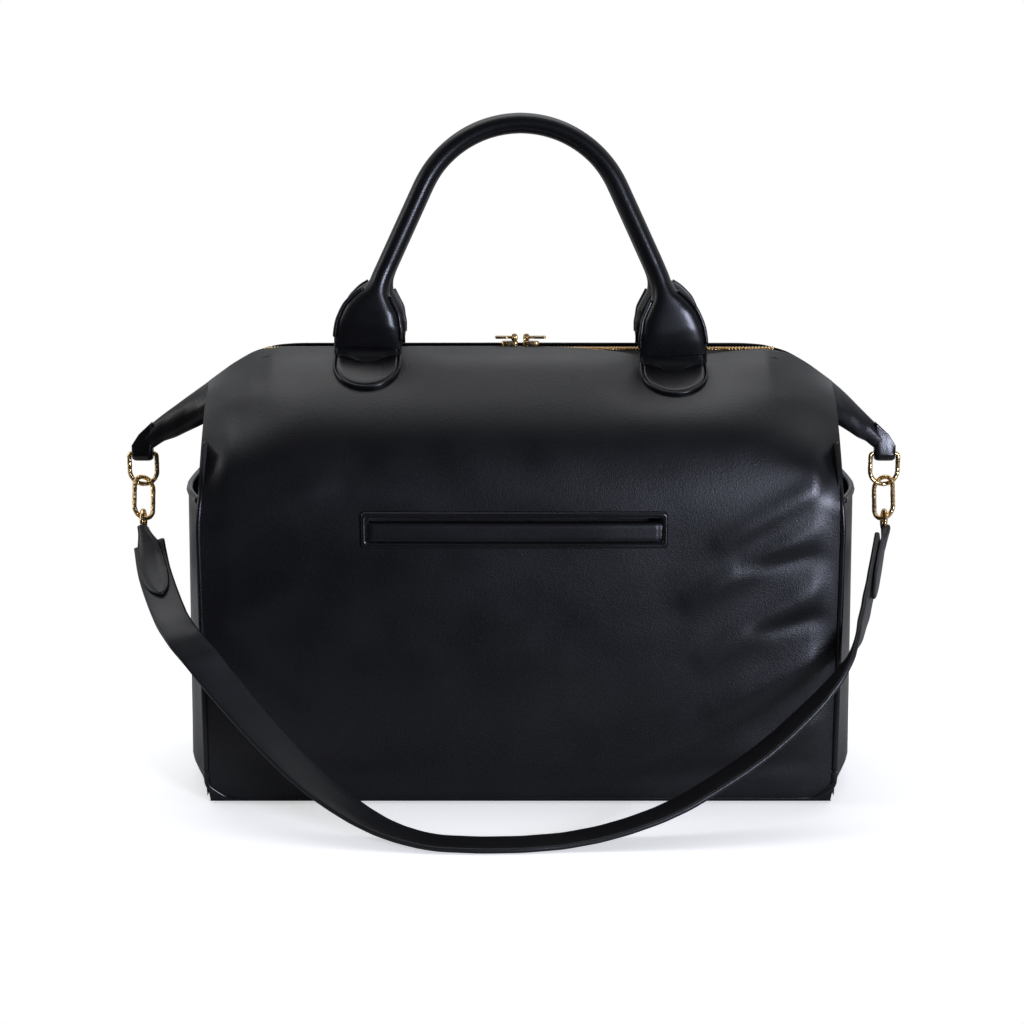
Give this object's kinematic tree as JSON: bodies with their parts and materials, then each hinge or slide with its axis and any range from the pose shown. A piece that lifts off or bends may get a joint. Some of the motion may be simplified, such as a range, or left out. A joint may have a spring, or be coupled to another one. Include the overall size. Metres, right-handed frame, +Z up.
{
  "type": "diaper_bag",
  "caption": "Black leather diaper bag with rolled handles, gold zip, chain links, front and side slip pockets and a shoulder strap resting on the floor",
  "frame": {"origin": "centre of the base's underside, on the floor", "axes": "+X to the bag's left-hand end as its user carries it (right in the front view), -Y out of the front, +Z up"},
  "size_m": [0.5216, 0.2618, 0.4419],
  "materials": {
    "leather": "soft sheen, fine pebble",
    "lining": "matt woven",
    "hardware": "polished pale gold plate",
    "board": "plain stiffener"
  },
  "bodies": {
    "bag": {"base_panel": "leather", "base_board": "board", "front_panel": "leather", "rear_panel": "leather", "side_gusset_left": "leather", "side_gusset_right": "leather", "side_pocket_left": "leather", "side_pocket_right": "leather", "pocket_binding_left": "leather", "pocket_binding_right": "leather", "front_piping": "leather", "rear_piping": "leather", "front_pocket_frame": "leather", "front_pocket_welt": "leather", "front_pocket_bag": "lining", "front_lining": "lining", "rear_lining": "lining", "side_lining_left": "lining", "side_lining_right": "lining", "base_lining": "lining", "wing_left": "leather", "wing_right": "leather", "wing_loop_left": "leather", "wing_loop_right": "leather"},
    "front_lip": {"front_lip": "leather", "front_zip_tape": "lining", "front_zip_teeth": "hardware", "front_tab_left": "leather", "front_tab_right": "leather"},
    "rear_lip": {"rear_lip": "leather", "rear_zip_tape": "lining", "rear_zip_teeth": "hardware", "rear_tab_left": "leather", "rear_tab_right": "leather"},
    "front_handle": {"front_handle": "leather", "front_flare_left": "leather", "front_flare_right": "leather"},
    "rear_handle": {"rear_handle": "leather", "rear_flare_left": "leather", "rear_flare_right": "leather"},
    "zip_slider_left": {"zip_slider_left": "hardware"},
    "zip_slider_right": {"zip_slider_right": "hardware"},
    "zip_pull_left": {"zip_pull_left": "hardware"},
    "zip_pull_right": {"zip_pull_right": "hardware"},
    "strap": {"upper_link_left": "hardware", "upper_link_right": "hardware", "middle_link_left": "hardware", "middle_link_right": "hardware", "lower_link_left": "hardware", "lower_link_right": "hardware", "strap_tab_left": "leather", "strap_tab_right": "leather", "shoulder_strap": "leather"}
  },
  "joints": [
    {"name": "front_lip_open", "type": "hinge", "parent": "bag", "child": "front_lip", "pos_m": [0, -0.078, 0.24], "axis": [1, 0, 0], "range_deg": [0, 45]},
    {"name": "rear_lip_open", "type": "hinge", "parent": "bag", "child": "rear_lip", "pos_m": [0, 0.078, 0.24], "axis": [-1, 0, 0], "range_deg": [0, 45]},
    {"name": "front_handle_fold", "type": "hinge", "parent": "front_lip", "child": "front_handle", "pos_m": [0, -0.02302, 0.29276], "axis": [1, 0, 0], "range_deg": [0, 110]},
    {"name": "rear_handle_fold", "type": "hinge", "parent": "rear_lip", "child": "rear_handle", "pos_m": [0, 0.02302, 0.29276], "axis": [-1, 0, 0], "range_deg": [0, 110]},
    {"name": "zip_slider_left_slide", "type": "slide", "parent": "bag", "child": "zip_slider_left", "axis": [-1, 0, 0], "range_m": [0, 0.15]},
    {"name": "zip_slider_right_slide", "type": "slide", "parent": "bag", "child": "zip_slider_right", "axis": [1, 0, 0], "range_m": [0, 0.15]},
    {"name": "zip_pull_left_swing", "type": "hinge", "parent": "zip_slider_left", "child": "zip_pull_left", "pos_m": [-0.004, 0, 0.29564], "axis": [0, 1, 0], "range_deg": [0, 120]},
    {"name": "zip_pull_right_swing", "type": "hinge", "parent": "zip_slider_right", "child": "zip_pull_right", "pos_m": [0.004, 0, 0.29564], "axis": [0, -1, 0], "range_deg": [0, 120]},
    {"name": "strap_swing", "type": "hinge", "parent": "bag", "child": "strap", "pos_m": [0, 0, 0.217], "axis": [-1, 0, 0], "range_deg": [0, 138]}
  ],
  "couplings": [
    {"joint": "rear_lip_open", "follows": "front_lip_open", "ratio": 1},
    {"joint": "zip_slider_left_slide", "follows": "front_lip_open", "m_per_rad": 0.1905},
    {"joint": "zip_slider_right_slide", "follows": "front_lip_open", "m_per_rad": 0.1905}
  ]
}
